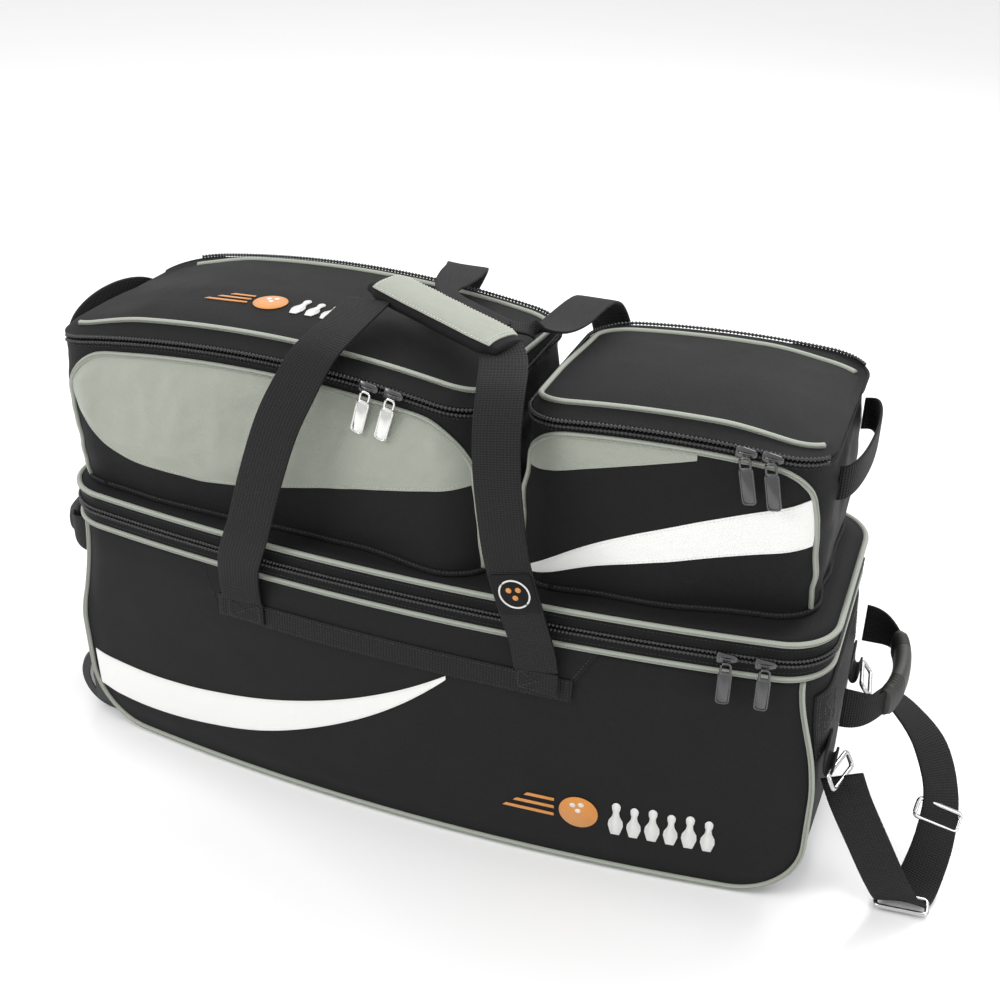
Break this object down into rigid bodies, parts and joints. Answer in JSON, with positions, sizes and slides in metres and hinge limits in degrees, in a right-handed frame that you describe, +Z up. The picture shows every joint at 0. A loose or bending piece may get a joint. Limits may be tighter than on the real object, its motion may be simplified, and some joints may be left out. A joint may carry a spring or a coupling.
{
  "type": "rolling bowling bag",
  "caption": "Long soft case on two wheels with a zipped lid, two zipped top pockets, wrapped carry straps, end handles and a towing strap.",
  "frame": {"origin": "on the floor under the middle of the case, on the underside of the middle skid rail", "axes": "+X to the right along the bag's length, towards the end with the towing strap; -Y to the front with the white crescent; +Z up"},
  "size_m": [0.8678, 0.311, 0.4675],
  "materials": {
    "shell_fabric": "black coated polyester twill",
    "webbing": "black ribbed webbing",
    "zip_coil": "black nylon coil",
    "piping": "grey-green woven piping",
    "silver_fabric": "satin silver-green twill",
    "white_fabric": "white twill",
    "board": "stiff base board",
    "foam": "covered foam",
    "moulded_plastic": "black moulded plastic",
    "steel": "nickel-plated steel",
    "hub_plastic": "grey moulded hub",
    "tyre": "soft polyurethane tread",
    "grip_rubber": "satin rubber",
    "slider_metal": "gunmetal",
    "pull_metal": "dark polished zip pull",
    "bright_pull_metal": "bright polished zip pull"
  },
  "bodies": {
    "case": {"case_front_panel": "shell_fabric", "case_back_panel": "shell_fabric", "case_left_end": "shell_fabric", "case_right_end": "shell_fabric", "case_bottom": "shell_fabric", "case_rim_tape": "shell_fabric", "case_zip_coil": "zip_coil", "case_piping": "piping", "base_board": "board", "ball_cradles": "foam", "bay_dividers": "foam", "skid_rails": "moulded_plastic", "wheel_housings": "moulded_plastic", "wheel_axle": "steel", "strap_patches": "shell_fabric", "strap_bands": "webbing", "front_swoosh": "white_fabric", "end_patches": "webbing", "hinge_strip": "shell_fabric"},
    "lid": {"lid_panel": "shell_fabric", "lid_band": "shell_fabric", "lid_zip_coil": "zip_coil", "lid_piping": "piping", "left_pocket_shell": "shell_fabric", "right_pocket_shell": "shell_fabric", "left_pocket_overlay": "silver_fabric", "right_pocket_overlay": "silver_fabric", "pocket_swoosh": "white_fabric", "pocket_piping": "piping", "pocket_zip_coils": "zip_coil", "pocket_end_loops": "webbing"},
    "front_wheel": {"front_wheel_hub": "hub_plastic", "front_wheel_tyre": "tyre"},
    "rear_wheel": {"rear_wheel_hub": "hub_plastic", "rear_wheel_tyre": "tyre"},
    "left_lid": {"left_pocket_lid": "shell_fabric", "left_lid_trim": "piping"},
    "right_lid": {"right_pocket_lid": "shell_fabric", "right_lid_trim": "piping"},
    "front_strap": {"front_carry_strap": "webbing", "handle_wrap": "silver_fabric"},
    "rear_strap": {"rear_carry_strap": "webbing"},
    "end_handle": {"end_handle_webbing": "webbing", "end_handle_grip": "grip_rubber"},
    "left_handle": {"left_handle_webbing": "webbing", "left_handle_grip": "grip_rubber"},
    "towing_strap": {"pull_strap": "webbing", "pull_hardware": "steel"},
    "main_slider_a_body": {"main_slider_a": "slider_metal"},
    "main_slider_b_body": {"main_slider_b": "slider_metal"},
    "left_slider_a_body": {"left_slider_a": "slider_metal"},
    "left_slider_b_body": {"left_slider_b": "slider_metal"},
    "right_slider_a_body": {"right_slider_a": "slider_metal"},
    "right_slider_b_body": {"right_slider_b": "slider_metal"},
    "main_pull_a_body": {"main_pull_a": "pull_metal"},
    "main_pull_b_body": {"main_pull_b": "pull_metal"},
    "left_pull_a_body": {"left_pull_a": "bright_pull_metal"},
    "left_pull_b_body": {"left_pull_b": "bright_pull_metal"},
    "right_pull_a_body": {"right_pull_a": "pull_metal"},
    "right_pull_b_body": {"right_pull_b": "pull_metal"}
  },
  "joints": [
    {"name": "lid_hinge", "type": "hinge", "parent": "case", "child": "lid", "pos_m": [0, 0.1385, 0.247], "axis": [-1, 0, 0], "range_deg": [0, 80]},
    {"name": "front_strap_swing", "type": "hinge", "parent": "case", "child": "front_strap", "pos_m": [0, -0.141, 0.206], "axis": [1, 0, 0], "range_deg": [0, 152.1]},
    {"name": "rear_strap_swing", "type": "hinge", "parent": "case", "child": "rear_strap", "pos_m": [0, 0.141, 0.206], "axis": [-1, 0, 0], "range_deg": [0, 152.1]},
    {"name": "left_lid_hinge", "type": "hinge", "parent": "lid", "child": "left_lid", "pos_m": [-0.3342, 0, 0.4073], "axis": [0, -1, 0], "range_deg": [0, 10.05]},
    {"name": "right_lid_hinge", "type": "hinge", "parent": "lid", "child": "right_lid", "pos_m": [0.3235, 0, 0.4113], "axis": [0, 1, 0], "range_deg": [0, 110]},
    {"name": "end_handle_swing", "type": "hinge", "parent": "case", "child": "end_handle", "pos_m": [0.369, 0, 0.185], "axis": [0, -1, 0], "range_deg": [0, 70]},
    {"name": "left_handle_swing", "type": "hinge", "parent": "case", "child": "left_handle", "pos_m": [-0.369, 0, 0.185], "axis": [0, 1, 0], "range_deg": [0, 70]},
    {"name": "towing_strap_swing", "type": "hinge", "parent": "case", "child": "towing_strap", "pos_m": [0.361, 0, 0.139], "axis": [0, -1, 0], "range_deg": [0, 20]},
    {"name": "front_wheel_spin", "type": "hinge", "parent": "case", "child": "front_wheel", "pos_m": [-0.335, -0.077, 0.036], "axis": [0, 1, 0], "continuous": true},
    {"name": "rear_wheel_spin", "type": "hinge", "parent": "case", "child": "rear_wheel", "pos_m": [-0.335, 0.077, 0.036], "axis": [0, 1, 0], "continuous": true},
    {"name": "main_slider_a_travel", "type": "hinge", "parent": "case", "child": "main_slider_a_body", "pos_m": [0, 1.863, 0.247], "axis": [0, 0, -1], "range_deg": [0, 2.35]},
    {"name": "main_slider_b_travel", "type": "hinge", "parent": "case", "child": "main_slider_b_body", "pos_m": [0.297, -0.0693, 0.247], "axis": [0, 0, 1], "range_deg": [0, 52]},
    {"name": "left_slider_a_travel", "type": "hinge", "parent": "lid", "child": "left_slider_a_body", "pos_m": [-0.15, -0.112, -0.577], "axis": [0, -1, 0], "range_deg": [0, 14.5]},
    {"name": "left_slider_b_travel", "type": "hinge", "parent": "lid", "child": "left_slider_b_body", "pos_m": [-0.15, -0.112, -0.577], "axis": [0, 1, 0], "range_deg": [0, 1.6]},
    {"name": "right_slider_a_travel", "type": "hinge", "parent": "lid", "child": "right_slider_a_body", "pos_m": [0.225, -0.106, -0.584], "axis": [0, -1, 0], "range_deg": [0, 8]},
    {"name": "right_slider_b_travel", "type": "hinge", "parent": "lid", "child": "right_slider_b_body", "pos_m": [0.225, -0.106, -0.584], "axis": [0, -1, 0], "range_deg": [0, 8]},
    {"name": "main_pull_a_swing", "type": "hinge", "parent": "main_slider_a_body", "child": "main_pull_a_body", "pos_m": [0.2683, -0.12876, 0.244], "axis": [-0.991, -0.1335, 0], "range_deg": [0, 120]},
    {"name": "main_pull_b_swing", "type": "hinge", "parent": "main_slider_b_body", "child": "main_pull_b_body", "pos_m": [0.29765, -0.126, 0.244], "axis": [-0.989, -0.148, 0], "range_deg": [0, 120]},
    {"name": "left_pull_a_swing", "type": "hinge", "parent": "left_slider_a_body", "child": "left_pull_a_body", "pos_m": [-0.03335, -0.12175, 0.41315], "axis": [-0.9672, 0, 0.2541], "range_deg": [0, 120]},
    {"name": "left_pull_b_swing", "type": "hinge", "parent": "left_slider_b_body", "child": "left_pull_b_body", "pos_m": [-0.01241, -0.12175, 0.41046], "axis": [-0.9616, 0, 0.2745], "range_deg": [0, 120]},
    {"name": "right_pull_a_swing", "type": "hinge", "parent": "right_slider_a_body", "child": "right_pull_a_body", "pos_m": [0.26189, -0.11575, 0.41232], "axis": [-0.9786, 0, -0.2059], "range_deg": [0, 120]},
    {"name": "right_pull_b_swing", "type": "hinge", "parent": "right_slider_b_body", "child": "right_pull_b_body", "pos_m": [0.28083, -0.11575, 0.41143], "axis": [-0.9823, 0, -0.1872], "range_deg": [0, 120]}
  ],
  "couplings": [
    {"joint": "front_strap_swing", "follows": "lid_hinge", "ratio": 1.9},
    {"joint": "rear_strap_swing", "follows": "lid_hinge", "ratio": 1.9},
    {"joint": "left_lid_hinge", "follows": "lid_hinge", "ratio": 0.125},
    {"joint": "right_slider_b_travel", "follows": "right_slider_a_travel", "ratio": 1}
  ]
}
